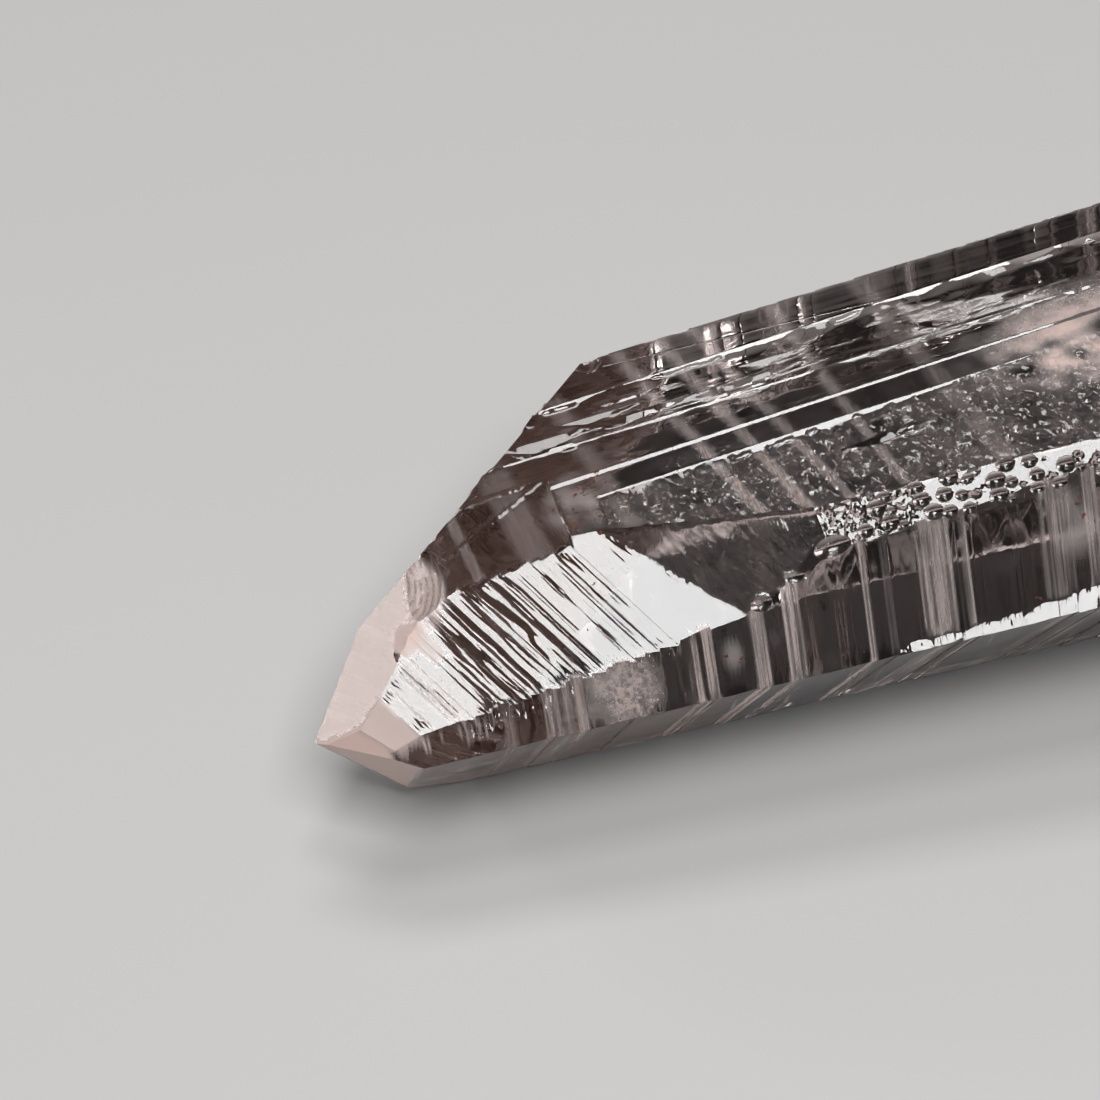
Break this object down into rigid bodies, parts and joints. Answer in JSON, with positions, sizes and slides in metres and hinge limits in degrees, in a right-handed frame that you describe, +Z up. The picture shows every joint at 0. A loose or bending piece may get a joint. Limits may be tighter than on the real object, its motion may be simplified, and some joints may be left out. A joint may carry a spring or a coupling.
{
  "type": "lemurian quartz point",
  "caption": "Clear tapering quartz crystal with a natural faceted point, growth ladders on its sides, a striated bevel, a pitted ridge and a broken base, lying on a long face.",
  "frame": {"origin": "middle of the box around the crystal, on the surface that it lies on", "axes": "+Z up from the surface, -X towards the point and +X towards the broken base end, long axis along X"},
  "size_m": [0.1152, 0.0362, 0.027],
  "materials": {
    "quartz": "clear natural quartz with a faint pinkish tint, glassy faces, frosted growth ladders and etched patches"
  },
  "bodies": {
    "root": {"quartz_point": "quartz"}
  },
  "joints": []
}
